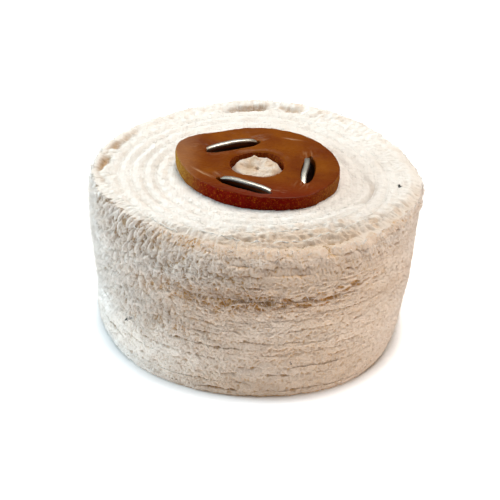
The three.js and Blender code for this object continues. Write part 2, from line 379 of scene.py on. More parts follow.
def terry(theta, height):
    """Matted tufts of frayed yarn: (height above the flank, painted shade from 0 to 1, deepest where the
    surface is low: between tufts, in dents and in pits).
    """
    turns = theta / (2 * np.pi)
    drift = ring_noise(theta, 90, height / 3.2, 31)
    lean = ring_noise(theta, 110, height / 2.6, 32)
    upright = angle_bump(theta, 215, 58) * ramp(height, 10, 25)
    knotted = angle_bump(theta, 258, 42) * bump(height, 34, 8) * (1 - upright)
    smooth = np.maximum(angle_bump(theta, 325, 60), 0.6 * ramp(height, 24, 14))
    patches = ramp(ring_noise(theta, 13, height / 7, 38), -0.35, 0.6)
    rough = np.clip(0.45 + 2.2 * upright + 0.95 * knotted - 0.25 * smooth, 0.2, 2.6)
    rough = rough * (0.6 + 0.4 * patches)

    across, up = turns * TALL_TUFTS + 0.4 * drift, height / 3.5 + 0.35 * lean
    streaks = tuft_cells(across, up, 33, TALL_TUFTS, 0.55, 0.4, 0.2)
    warp = 0.5 * ring_noise(theta, 300, height / 1.1, 49)
    across, up = turns * WIDE_TUFTS + 0.6 * lean + warp, height / 0.9 + 0.5 * drift - warp
    mats = tuft_cells(across, up, 34, WIDE_TUFTS, 0.5, 0.35, 0.18)
    tufts = upright * streaks + (1 - upright) * mats

    curls = ring_noise(theta, 620, height / 0.5, 35)
    lumps = ring_noise(theta, 75, height / 3.4, 36)
    swell = ring_noise(theta, 5, height / 30, 37)
    slanted = gradient_noise(turns * 170 - height / 3.5, height / 0.9, 39)
    hanging = ring_noise(theta, 200, height / 3.8, 44)
    dents = ramp(slanted, 0.42, 0.9) * (0.45 + 0.5 * smooth) * (1 - upright)
    dents = dents + ramp(hanging, 0.25, 0.6) * 1.4 * upright
    band_height = 33.4 - 1.2 * angle_bump(theta, 272, 75) + 3.5 * angle_bump(theta, 325, 35)
    band = np.clip(1.4 * angle_bump(theta, 276, 62), 0, 1) * bump(height, band_height, 4.4)
    holes = ring_noise(theta, 105, height, 40) + 0.45 * ring_noise(theta, 230, height / 0.6, 45)
    pits = ramp(holes + 0.5 * band, 0.4, 0.75) * np.clip(1.4 * band, 0, 1)
    grit = 0.16 * ring_noise(theta, 430, height / 0.75, 46)
    high = 0.85 * rough * tufts + 0.16 * curls + grit + 0.35 * lumps + 0.4 * swell - 0.6 * dents - 0.9 * pits
    shade = -(1.25 + 0.35 * upright) * rough * tufts - 0.45 * curls - 1.2 * grit
    shade = shade + 0.7 * dents + 1.3 * pits - 0.1 * lumps
    return high, np.clip(shade + 0.05, 0, 1)


def fold_offset(theta, fold):
    """How far one fold's rim stands out of its neighbours'."""
    slow = ring_noise(theta, 9, fold * 2.3, 41) * 0.3
    quick = ring_noise(theta, 46, fold * 3.1, 42) * 0.22
    from_gap = fold - (FRONT_GAP - 0.5)
    stands_out, set_back = 0.4 * np.exp(-((from_gap + 0.5) ** 2)), -0.2 * np.exp(-((from_gap - 0.5) ** 2))
    ledge = np.where(from_gap < 0, stands_out, set_back)
    worn_steps = np.where(fold >= FOLDS - 4, ring_noise(theta, 11, fold * 1.7, 43) * 0.9, 0.0)
    matted = angle_bump(theta, 212, 60) * ramp(fold, 4, 12) + angle_bump(theta, 338, 60)
    calm = 1 - 0.75 * np.clip(matted, 0, 1)
    ragged = ring_noise(theta, 170, fold * 1.9, 47) * 0.4 + ring_noise(theta, 50, fold * 1.3, 48) * 0.8
    edge = ramp(fold, FOLDS - 6, FOLDS - 1) * (0.35 + 0.65 * angle_bump(theta, 280, 110)) * ragged
    offset = (slow + quick) * calm + ledge * angle_bump(theta, 268, 48)
    return offset + worn_steps * angle_bump(theta, 290, 65) + edge


def edge_rounding(share, open_low, open_high):
    """How much less a fold's rim stands out near its lower and upper edges; share goes from 0 to 1."""
    reach = 0.3
    low = np.clip(1 - share / reach, 0, 1) ** 2
    high = np.clip(1 - (1 - share) / reach, 0, 1) ** 2
    return open_low * low + open_high * high


def rim_surface(theta, fold, share):
    """Radius, height and painted shade of a point on a fold's rim. Share is 0 at its lower edge and 1 at its
    upper edge."""
    half_low, deep_low = opening(theta, fold)
    half_high, deep_high = opening(theta, fold + 1)
    low = boundary_height(theta, fold) + half_low
    high = boundary_height(theta, fold + 1) - half_high
    height = low + (high - low) * share
    tufts, hollow = terry(theta, height)
    rounding = edge_rounding(share, deep_low, deep_high)
    rolled = np.where(np.asarray(fold) == FOLDS - 1, 0.3 + angle_bump(theta, 278, 105), 0.0) * share**2
    radius = flank(theta, height) + tufts + fold_offset(theta, np.asarray(fold, float)) - rounding - rolled
    # Painted shade: the terry's hollows, more at the folds' rounded edges, and a painted contact shade along
    # the foot of the lowest fold.
    contact_shade = (np.asarray(fold) == 0) * np.clip(1 - share / 0.16, 0, 1)
    return radius, height, np.clip(hollow + 0.6 * rounding + contact_shade, 0, 1)


RIM_COLUMNS = 1500
RIM_SHARES = np.array([0, 0.05, 0.12, 0.21, 0.32, 0.44, 0.56, 0.68, 0.79, 0.88, 0.95, 1.0])
DEPTHS_BEHIND_RIM = np.array([0.5, 1.1, 2.0, 3.4])
INNER_RADIUS = 8.0


def plain_fold_points(fold):
    """The grid of one fold below the front one: its underside, its rim and its upper side."""
    theta = np.arange(RIM_COLUMNS) * 2 * np.pi / RIM_COLUMNS
    rim = [rim_surface(theta, fold, share) for share in RIM_SHARES]

    def behind(edge, flat_height):
        rows = []
        for depth in DEPTHS_BEHIND_RIM:
            r = edge[0] - depth
            settled = flat_height - fold_sag[fold]
            blend = 0.8 * ramp(depth, 0, 5)
            # Painted shade, more the further behind the rim, and full on the clamped rows below.
            rows.append((r, edge[1] * (1 - blend) + settled * blend, np.clip(edge[2] + 0.3 * depth, 0, 1)))
        for r in (CLAMPED_RADIUS, INNER_RADIUS):
            rows.append((np.full(RIM_COLUMNS, r), np.full(RIM_COLUMNS, flat_height), np.ones(RIM_COLUMNS)))
        return rows

    rows = behind(rim[0], fold_base[fold])[::-1] + rim + behind(rim[-1], fold_top[fold])
    return theta, [np.stack(parts) for parts in zip(*rows)]


def tan_and_shade_share(theta, height):
    """How tan the cloth looks, from 0 to 1: tan from use with painted shade in it, most at the front and
    right of the rim and on the band of the front gap, and fading out towards the top edge, which stays light.
    """
    use_and_shade = 0.12 + 0.88 * angle_bump(theta, 295, 95) ** 0.7 + 0.15 * angle_bump(theta, 85, 95)
    blotch = gradient_noise(theta * 11 / (2 * np.pi), height / 8, 51, 11)
    front_top = CORE_TOP - FRONT_DROOP * angle_bump(theta, 298, 122)
    fine = gradient_noise(theta * 40 / (2 * np.pi), height / 1.6, 54, 40)
    use_and_shade = use_and_shade + 0.6 * angle_bump(theta, 268, 60) * bump(height, 33, 5)
    return np.clip(use_and_shade + 0.25 * blotch, 0, 1) * ramp(height + 1.4 * fine, front_top + 1.6, front_top - 2.2)


SPECKS = (  # angle, radius, height, size
    (356.3, 43.0, 48.0, 0.7), (222.8, 48.3, 15.4, 0.65), (285.0, 48.3, 12.0, 0.25),
)
SPECK_DEPTH = 2.5
LINT_FIBRES = 14  # on each speck
LINT_RADIUS = 0.11
LINT_TAPER = (1, 0.9, 0.7, 0.4)


def specks(points):
    """1 where a fleck of dirt sits, and 0 elsewhere. A fleck marks every surface within its depth."""
    theta, radius = np.arctan2(points[..., 1], points[..., 0]), np.hypot(points[..., 0], points[..., 1])
    dirty = 0
    for angle, out, height, size in SPECKS:
        around = degrees_from(theta, angle) * out * math.pi / 180
        on_top = height > CORE_TOP - 1
        other = radius - out if on_top else points[..., 2] - height
        far = np.abs(points[..., 2] - height) if on_top else np.abs(radius - out)
        dirty = dirty + ramp(np.hypot(around, 1.4 * other), size * 1.3, size * 0.7) * (far < SPECK_DEPTH)
    return np.clip(dirty, 0, 1)


def add_lint(material):
    """A pinch of short dark fibres on each fleck of dirt."""
    rng = np.random.default_rng(7)
    paths = []
    for angle, out, height, size in SPECKS:
        theta = math.radians(angle)
        on_top = height > CORE_TOP - 1
        if on_top:
            height = float(top_height(np.array([out]), np.array([theta]))[0][0])
        middle = np.array([out * math.cos(theta), out * math.sin(theta), height])
        outward = np.array([0, 0, 1.0]) if on_top else np.array([math.cos(theta), math.sin(theta), 0])
        start = middle + 0.35 * outward + rng.normal(0, 0.3 * size, (LINT_FIBRES, 3))
        reach = rng.normal(0, 1, (LINT_FIBRES, 3))
        reach *= size / np.linalg.norm(reach, axis=-1, keepdims=True)
        paths.append(start[:, None] + np.linspace(0, 1, len(LINT_TAPER))[None, :, None] * reach[:, None])
    paths = np.concatenate(paths)
    radii = np.full(paths.shape[:2], LINT_RADIUS) * np.array(LINT_TAPER)
    return strand_mesh("lint", paths, radii, [material], np.tile([0.0, 0.0, 1.0], (len(paths), 1)))


def add_plain_fold(fold, material):
    theta, (radius, height, hollow) = plain_fold_points(fold)
    points = round_the_axis(radius, theta, height)
    wear_and_shade = np.stack([hollow, tan_and_shade_share(theta, height), specks(points)], axis=-1)
    return grid_mesh(f"cotton_cloth_{fold + 1:02d}", points, [material], wear_and_shade)


# ---------------------------------------------------------------- the front fold
STITCH_PITCH = 3.7  # from one turn of the spiral to the next
STITCH_LENGTH = 3.4
STITCH_INNER_RADIUS = 27.0
STITCH_START = -140.0
STITCH_OUTER_RADIUS = 42.0
PILE_RADIUS = 7.6  # the cloth swells into the washer's hole out to here
PILE_HEIGHT = 2.7
PILE_PEAKS = (  # x, y, height, width
    (-0.8, 4.6, 1.0, 1.5), (2.4, 4.4, 0.8, 1.3), (-4.6, 1.6, 0.6, 1.6), (4.3, -1.8, 0.5, 1.8),
)
DOME_DROP = 2.3
TORN_LEDGES = (  # radius, angle, half width in degrees, drop
    (39.6, 312, 42, 0.8), (42.6, 296, 48, 0.6), (36.4, 322, 26, 0.6), (36.2, 282, 34, 0.45),
)


def stitch_offset(radius, theta):
    """Distance outwards from the nearest turn of the stitch spiral, and how far along it, both in mm."""
    turned = np.mod(np.degrees(theta) - STITCH_START, 360) / 360
    lane = (radius - STITCH_INNER_RADIUS) / STITCH_PITCH - turned
    nearest = np.round(lane)
    return (lane - nearest) * STITCH_PITCH, (nearest + turned) * 2 * np.pi * radius


def dome_height(radius, theta):
    """The front fold's upper surface without its stitching and tufts."""
    towards_front = 0.08 + 0.92 * angle_bump(theta, 295, 125)
    past_shoulder = radius - shoulder_radius(theta)
    dome = DOME_DROP * towards_front * np.clip((past_shoulder + 3) / 12, 0, 1.3) ** 1.7
    return CORE_TOP - dome + back_lift(theta, radius)


def top_height(radius, theta):
    """The front fold's upper surface, and the painted shade on each point: in the stitch grooves, in the dips
    between tufts and in the swirl.
    """
    x, y = radius * np.cos(theta), radius * np.sin(theta)
    past_shoulder = radius - shoulder_radius(theta)
    off, along = stitch_offset(radius, theta)
    sewn = ramp(radius, 24, 27) * ramp(radius, 43.5, 42)
    stitch = 0.6 + 0.4 * np.cos(along * 2 * np.pi / STITCH_LENGTH)
    patchy = 0.65 + 0.5 * gradient_noise(x / 9, y / 9, 66)
    groove = 0.3 * sewn * patchy * np.cos(np.pi * off / STITCH_PITCH) ** 2
    groove = groove + 0.2 * sewn * stitch * patchy * np.exp(-((off / 0.8) ** 2))
    pucker = 0.16 * sewn * gradient_noise(np.degrees(theta) / 5, radius / 2.6, 61, 72)
    crease = 0.2 * gradient_noise(x / 5.2, y / 3.1, 62) + 0.13 * gradient_noise(x / 2.1, y / 1.3, 63)
    nap = 0.07 * gradient_noise(x / 0.7, y / 0.7, 64)
    frayed = np.maximum(ramp(radius, 40, 45), ramp(past_shoulder, -3, 4))
    clumps = gradient_noise(x / 1.7, y / 0.9, 65) + 0.6 * gradient_noise(x / 3.4, y / 1.9, 75)
    tufts = (0.35 + 0.3 * angle_bump(theta, 275, 90)) * frayed * clumps
    torn = 0
    for start, centre, half_width, drop in TORN_LEDGES:
        edge = start + 1.1 * gradient_noise(theta * 14 / np.pi, start, 67, 28)
        edge = edge + 0.35 * gradient_noise(theta * 60 / np.pi, start, 68, 120)
        step = ramp(radius, edge - 0.1, edge + 0.35) - 0.5
        torn = torn + drop * angle_bump(theta, centre, half_width) * step
    turned = degrees_from(theta, 345)
    swirl = np.exp(-(((radius - 35.1 + 0.0065 * turned**2) / 0.9) ** 2)) * bump(turned, 2, 34)
    height = dome_height(radius, theta) - groove + pucker + crease + nap + tufts - torn - 0.9 * swirl
    return height, np.clip(0.45 * groove + 0.8 * np.clip(-tufts, 0, 1) + 0.3 * swirl, 0, 1)


def edge_grooves(theta, from_edge):
    """Depth of the valley just inside the curled-up edge behind, where the folds below show."""
    ragged = ramp(ring_noise(theta, 40, from_edge / 3, 69), -0.6, 0.4)
    back = angle_bump(theta, 90, 20) ** 0.6
    left = angle_bump(theta, 168, 28) ** 0.6
    place = 2.9 + 1.6 * angle_bump(theta, 90, 50) + 0.6 * ring_noise(theta, 25, 0.5, 70)
    valley = bump(from_edge, place, 2.3)
    return (back + left) * ragged * valley


def pile_height(radius, theta):
    """The cloth that swells up in the washer's hole, with a few peaks round a pinched centre hole."""
    x, y = radius * np.cos(theta), radius * np.sin(theta)
    swell = PILE_HEIGHT * fade((PILE_RADIUS + 0.8 - radius) / 2.2)
    peaks = 0
    for px, py, tall, wide in PILE_PEAKS:
        peaks = peaks + tall * np.exp(-((x - px) ** 2 + (y - py) ** 2) / wide**2)
    folds = 0.45 * gradient_noise(x / 2.3, y / 1.7, 71) + 0.16 * gradient_noise(x / 0.8, y / 0.8, 72)
    pinch = 0.7 * np.exp(-((radius / 1.8) ** 2))
    hollow = np.exp(-(((x + 2.2) / 1.3) ** 2 + ((y - 0.6) / 2.0) ** 2))
    height = CORE_TOP + swell + (peaks + folds) * ramp(radius, 7.4, 5) - pinch - 0.6 * hollow
    # Painted shade over all the cloth in the washer's hole, deeper in its dip left of the centre and at the
    # pinched centre.
    return height, np.clip(0.3 + 0.6 * hollow + 0.1 * np.exp(-((radius / 1.6) ** 2)), 0, 1)


CENTRE_RADIUS = 0.7
PILE_EDGE = 8.2
TOP_RADII = np.concatenate([
    np.linspace(CENTRE_RADIUS, PILE_RADIUS, 24), [8.4, 10, 14, 19, 22.5], np.arange(24, 45.2, 0.4),
])
SPREAD_START, SPREAD_WIDTH = 30, 15.4  # the rows in this band are spread out to the uneven rim
UNDERSIDE_DROP = 1.6  # of the front fold's underside below its dome


def front_fold_points():
    fold = FOLDS - 1
    theta = np.arange(RIM_COLUMNS) * 2 * np.pi / RIM_COLUMNS
    rim = [rim_surface(theta, fold, share) for share in RIM_SHARES]
    radius, height, hollow = (list(parts) for parts in zip(*rim))
    edge_radius, edge_height = radius[-1], height[-1]
    for r in TOP_RADII[::-1]:
        here = np.full(RIM_COLUMNS, r)
        if r > SPREAD_START:
            here = SPREAD_START + (r - SPREAD_START) * (edge_radius - SPREAD_START) / SPREAD_WIDTH
        z, h = pile_height(here, theta) if r < PILE_EDGE else top_height(here, theta)
        if r > 36:
            valley = edge_grooves(theta, edge_radius - here)
            # The valley sinks and gets painted shade.
            z, h = z - 2.2 * valley, np.clip(h + 0.9 * valley, 0, 1)
        join = ramp(here, edge_radius - 3.5, edge_radius - 0.2)
        clumps = gradient_noise(here * np.cos(theta) / 1.5, here * np.sin(theta) / 0.8, 77)
        clumps = 0.4 * join * clumps * ramp(edge_radius - here, 0, 0.8)
        height.append(z * (1 - join) + edge_height * join + clumps)
        radius.append(here)
        hollow.append(h)
    for r in (CENTRE_RADIUS, CLAMPED_RADIUS, 34.0, radius[0] - 2.5):
        radius.append(r + np.zeros(RIM_COLUMNS))
        height.append(np.minimum(fold_base[fold], dome_height(radius[-1], theta) - UNDERSIDE_DROP))
        # The underside is in full painted shade.
        hollow.append(np.ones(RIM_COLUMNS))
    return theta, np.stack(radius), np.stack(height), np.stack(hollow)


def add_front_fold(rim_material, top_material):
    theta, radius, height, hollow = front_fold_points()
    points = round_the_axis(radius, theta, height)
    patch = gradient_noise(points[..., 0] / 4.0, points[..., 1] / 4.0, 73)
    # Tan and painted shade from the rim's share, plus painted shade, uneven, on the cloth in the washer's
    # hole.
    tan_and_shade = tan_and_shade_share(theta, height) + (radius < 8) * np.clip(0.75 + 0.9 * patch, 0, 1)
    stains = ramp(gradient_noise(points[..., 0] / 3.6, points[..., 1] / 2.6, 74), 0.0, 0.5)
    tan_and_shade = tan_and_shade + stains * angle_bump(theta, 316, 50) * ramp(radius - shoulder_radius(theta), -2, 2)
    wavering = radius + 2.4 * gradient_noise(points[..., 0] / 2.8, points[..., 1] / 1.8, 76)
    past = wavering - shoulder_radius(theta)
    # Tan and painted shade on the front shoulder, where the cloth slopes down from the top.
    shoulder_tan_and_shade = (0.25 + 0.6 * angle_bump(theta, 290, 80)) * angle_bump(theta, 278, 95) ** 0.5
    tan_and_shade = tan_and_shade + shoulder_tan_and_shade * ramp(past, -2, 5)
    tan_and_shade = tan_and_shade + 0.6 * stains * angle_bump(theta, 85, 100) * ramp(wavering, 44.5, 47)
    # Painted shade in the valleys inside the curled-up edge behind.
    tan_and_shade = tan_and_shade + 1.3 * edge_grooves(theta, radius[len(RIM_SHARES) - 1] - radius)
    wear_and_shade = np.stack([hollow, np.clip(tan_and_shade, 0, 1), specks(points)], axis=-1)
    face_rows = np.repeat(np.arange(len(radius)), RIM_COLUMNS)
    is_top = (face_rows >= len(RIM_SHARES) - 1).astype(int)
    return grid_mesh("cotton_cloth_24", points, [rim_material, top_material], wear_and_shade, is_top)


# ---------------------------------------------------------------- frayed yarn and fuzz
def strand_paths(rng, base, outward, along, lengths, rise, curl, steps):
    """Curved paths that leave base along the surface and rise off it: strands x steps x 3."""
    count = len(base)
    share = np.linspace(0, 1, steps)[None, :, None]
    across = np.cross(outward, along)
    phase = rng.random((count, 1, 1)) * 2 * np.pi
    bend = (rng.random((count, 1, 1)) * 2 - 1) * curl
    sway = np.sin(share * 2.4 + phase) - np.sin(phase)
    lift = rise[:, None, None] * share * (1.3 - 0.45 * share) - 0.12
    reach = lengths[:, None, None]
    path = share * along[:, None] + sway * bend * across[:, None] + lift * outward[:, None]
    return base[:, None] + reach * path


def fringe_field(rng, count, first_fold, last_fold):
    """Random points on the rim of some folds, with the surface's outward and round directions there."""
    theta = rng.random(count * 2) * 2 * np.pi
    kept = rng.random(count * 2) > 0.5 * angle_bump(theta, 320, 80)
    theta = theta[kept][:count]
    fold = rng.integers(first_fold, last_fold + 1, count)
    radius, height, hollow = rim_surface(theta, fold, rng.random(count) * 0.8 + 0.1)
    base = round_the_axis(radius, theta, height)
    flat = np.zeros(count)
    outward = np.stack([np.cos(theta), np.sin(theta), flat], axis=-1)
    around = np.stack([-np.sin(theta), np.cos(theta), flat], axis=-1)
    return theta, height, hollow, base, outward, around


def unit(vectors):
    return vectors / (np.linalg.norm(vectors, axis=-1, keepdims=True) + 1e-9)


def rim_strands(rng, count, first_fold, last_fold, length, width, rise, steps):
    """Paths, radii and colour channels of strands on the rim: a quarter of the rim's painted shade, and its
    tan and painted shade less a random share. They hang up and down where the yarn is combed upright.
    """
    theta, height, hollow, base, outward, around = fringe_field(rng, count, first_fold, last_fold)
    upright = angle_bump(theta, 215, 62) * ramp(height, 8, 22)
    knotted = angle_bump(theta, 275, 60) * bump(height, 33, 5)
    rough = 0.3 + upright + knotted + ramp(height, CORE_TOP - 7, CORE_TOP - 3) + angle_bump(theta, 90, 95)
    rough = np.clip(rough, 0, 1)
    heading = rng.normal(0, 1, (count, 2))
    heading[:, 0] *= 1 - 0.75 * upright
    up = np.array([0, 0, 1.0])
    along = unit(around * heading[:, :1] + up * heading[:, 1:] + outward * rng.normal(0, 0.25, (count, 1)))
    lengths = rng.uniform(*length, count) * (1 + 0.5 * upright)
    above_rest = 1.2 + 2.0 * ramp(height, 1.5, 4)
    lengths = np.minimum(lengths, above_rest) * (0.45 + 0.55 * rough)
    along[height < 3, 2] = np.abs(along[height < 3, 2])
    paths = strand_paths(rng, base, outward, along, lengths, rng.uniform(*rise, count), 0.35, steps)
    taper = np.linspace(1, 0.35, steps)
    radii = (rng.uniform(*width, count) * (0.6 + 0.4 * rough))[:, None] * taper[None]
    bright = np.clip(tan_and_shade_share(theta, height) - rng.uniform(0, 0.4, count), 0, 1)
    return paths, radii, np.stack([0.25 * hollow, bright, 0 * hollow], axis=-1)


def top_strands(rng, count):
    """The nap on the front fold's upper surface."""
    radius = np.sqrt(rng.uniform(25.5**2, 45.5**2, count))
    theta = rng.random(count) * 2 * np.pi
    radius = radius * (1 - 0.1 * angle_bump(theta, 280, 95))
    base = round_the_axis(radius, theta, top_height(radius, theta)[0])
    heading = rng.random(count) * 2 * np.pi
    along = np.stack([np.cos(heading), np.sin(heading), 0 * heading], axis=-1)
    outward = np.broadcast_to(np.array([0, 0, 1.0]), base.shape)
    lengths, rise = rng.uniform(0.6, 1.8, count), rng.uniform(0.05, 0.45, count)
    paths = strand_paths(rng, base, outward, along, lengths, rise, 0.4, 3)
    radii = rng.uniform(0.02, 0.04, count)[:, None] * np.array([[1, 0.7, 0.35]])
    return paths, radii, np.zeros((count, 3))


YARN_ENDS = 7000  # in each section
FUZZ_FIBRES = 16000  # in each section
NAP_FIBRES = 14000
YARN_SIZES = dict(length=(0.7, 1.9), width=(0.08, 0.17), rise=(0.05, 0.5), steps=5)
FUZZ_SIZES = dict(length=(1.0, 3.2), width=(0.022, 0.04), rise=(0.15, 0.95), steps=3)


def add_fringes(section, material):
    """The torn yarn ends and the fuzz on the rims of one section's folds."""
    rng = np.random.default_rng(100 + section)
    first = section * FOLDS_PER_SECTION
    last = first + FOLDS_PER_SECTION - 1
    yarn = rim_strands(rng, YARN_ENDS, first, last, **YARN_SIZES)
    fuzz = rim_strands(rng, FUZZ_FIBRES, first, last, **FUZZ_SIZES)
    pieces = [
        strand_mesh(f"yarn_ends_{section + 1}", *yarn[:2], [material], yarn[2]),
        strand_mesh(f"fuzz_{section + 1}", *fuzz[:2], [material], fuzz[2]),
    ]
    if last == FOLDS - 1:
        nap = top_strands(rng, NAP_FIBRES)
        pieces.append(strand_mesh("nap", *nap[:2], [material], nap[2]))
        pieces.append(add_lint(material))
    return pieces


# ---------------------------------------------------------------- stitching
THREAD_RADIUS = 0.17
THREAD_STEPS = 2600


def add_thread(section, material):
    """A row of lockstitches: the thread shows on the section's front for most of each stitch, then dips."""
    turns = (STITCH_OUTER_RADIUS - STITCH_INNER_RADIUS) / STITCH_PITCH
    share = np.linspace(0, 1, THREAD_STEPS)
    radius = STITCH_INNER_RADIUS + (STITCH_OUTER_RADIUS - STITCH_INNER_RADIUS) * share
    theta = np.radians(STITCH_START + 360 * turns * share)
    if section == FOLDS // FOLDS_PER_SECTION - 1:
        surface = top_height(radius, theta)[0]
    else:
        surface = np.full(THREAD_STEPS, fold_top[(section + 1) * FOLDS_PER_SECTION - 1] + 0.25)
    run = np.cumsum(np.hypot(radius * np.gradient(theta), np.gradient(radius)))
    stitch = np.cos(run * 2 * np.pi / STITCH_LENGTH)
    height = surface - 0.04 - 0.2 * ramp(-stitch, 0.2, 1)
    path = round_the_axis(radius, theta, height)[None]
    radii = np.full((1, THREAD_STEPS), THREAD_RADIUS)
    return strand_mesh(f"sewing_thread_{section + 1}", path, radii, [material], np.zeros((1, 3)), 6)


# ---------------------------------------------------------------- leather washers
FRONT_FACE = box_mm("front_leather_washer")[1][2]
WASHER_THICKNESS = 4.0
WASHER_OUTLINE = (
    (0, 24.5), (30, 23.9), (60, 24.2), (90, 23.5), (120, 22.8), (145, 24.2), (162, 25.5), (180, 24.0),
    (210, 21.8), (240, 21.6), (270, 22.9), (300, 25.4), (330, 25.2),
)
BACK_WASHER_TURN = 100.0
WASHER_HOLE_RADIUS = 8.3
WASHER_COLUMNS = 900
STAPLES = (  # angle, radius, lean, slot's shift
    (125, 14.8, -7, -1.7), (259, 14.3, -16, 1.7), (348, 14.7, 7, 0.8),
)
SLOT_HALF_LENGTH = 9.4
SLOT_HALF_WIDTH = 2.15
SLOT_DEPTH = 2.9
CREASES = (  # from x, y to x, y, and width
    (-19.6, -6.0, -12.8, -12.0, 0.35), (7.0, 17.5, 13.5, 15.8, 0.3),
)
BACK_RELIEF = 0.25  # the most that the pressed-flat back washer stands above its face


def smooth_loop(angles, values, at):
    """A closed curve through values at angles in degrees, with no corners, read at other angles."""
    angles, values = np.asarray(angles, float), np.asarray(values, float)
    span = np.concatenate([angles[-3:] - 360, angles, angles[:3] + 360])
    held = np.concatenate([values[-3:], values, values[:3]])
    slope = np.gradient(held, span)
    at = np.mod(at, 360)
    k = np.clip(np.searchsorted(span, at, side="right") - 1, 0, len(span) - 2)
    width = span[k + 1] - span[k]
    t = (at - span[k]) / width
    return (
        (2 * t**3 - 3 * t**2 + 1) * held[k] + (t**3 - 2 * t**2 + t) * width * slope[k]
        + (3 * t**2 - 2 * t**3) * held[k + 1] + (t**3 - t**2) * width * slope[k + 1]
    )


def staple_frame(angle, radius, lean):
    """A staple's middle, the direction along its crown, and the direction away from the axis."""
    yaw, turn = math.radians(angle - 90 + lean), math.radians(angle)
    middle = np.array([radius * math.cos(turn), radius * math.sin(turn)])
    return middle, np.array([math.cos(yaw), math.sin(yaw)]), np.array([-math.sin(yaw), math.cos(yaw)])


def slots(x, y):
    """Depth of the slots that the crowns have cut, a share from 0 to 1 of painted shadow in there, and the
    broad dish and the wrinkles round them."""
    depth, dark, dish, wrinkle = 0 * x, 0 * x, 0 * x, 0 * x
    for k, (angle, radius, lean, shift) in enumerate(STAPLES):
        middle, u_axis, v_axis = staple_frame(angle, radius, lean)
        u = (x - middle[0]) * u_axis[0] + (y - middle[1]) * u_axis[1]
        v = (x - middle[0]) * v_axis[0] + (y - middle[1]) * v_axis[1]
        inside = 1 - (u / SLOT_HALF_LENGTH) ** 2 - ((v - shift) / SLOT_HALF_WIDTH) ** 2
        cut = np.clip(inside, 0, 1) ** 0.4
        depth = np.maximum(depth, SLOT_DEPTH * cut)
        # Painted shadow in the slot under the crown.
        dark = np.maximum(dark, ramp(cut, 0.2, 0.6))
        away = np.hypot(np.maximum(np.abs(u) - 6, 0), v - shift)
        dish = dish + 0.55 * np.exp(-((away / 3.6) ** 2))
        for end in (-1, 1):
            beyond = end * u - 9.3
            fan = np.exp(-((np.hypot(beyond - 1.2, v) / 2.2) ** 2))
            ridges = gradient_noise(v / 0.75 + 0.2 * beyond, beyond / 3.0 + 9 * k + 3 * end, 81)
            wrinkle = wrinkle + fan * ridges
    return depth, dark, dish, wrinkle


def washer_top(x, y):
    """The grain side of a washer, above its flat face, with shares of painted shadow in the slots and of
    painted highlight on creases, wrinkles and the left tip.
    """
    depth, dark, dish, wrinkle = slots(x, y)
    radius = np.hypot(x, y)
    tip = 1.1 * ramp(-0.97 * x + 0.24 * y, 15.5, 26)
    cupped = 0.3 * ramp(radius, 15, 25)
    swell = 0.3 * gradient_noise(x / 9, y / 9, 82)
    rumple = 0.1 * gradient_noise(x / 2.6, y / 2.6, 83) + 0.05 * gradient_noise(x / 1.1, y / 1.1, 84)
    lip = 0.5 * ramp(radius, WASHER_HOLE_RADIUS + 2.2, WASHER_HOLE_RADIUS)
    crease = np.zeros_like(x)
    for x0, y0, x1, y1, width in CREASES:
        length = math.hypot(x1 - x0, y1 - y0)
        t = ((x - x0) * (x1 - x0) + (y - y0) * (y1 - y0)) / length**2
        off = ((x - x0) * (y1 - y0) - (y - y0) * (x1 - x0)) / length
        crease = crease + np.exp(-((off / width) ** 2)) * bump(t, 0.5, 0.62)
    height = tip + cupped + swell + rumple - lip - dish + 0.22 * wrinkle - 0.2 * crease - depth
    # Painted highlights: a sheen on the curled-up left tip, and on the creases and the wrinkles round the
    # slots' ends.
    tip_sheen = 0.32 * ramp(-x, 15.5, 23)
    return height, dark, np.clip(0.8 * crease + 0.5 * np.clip(wrinkle, 0, 1) + tip_sheen, 0, 1)


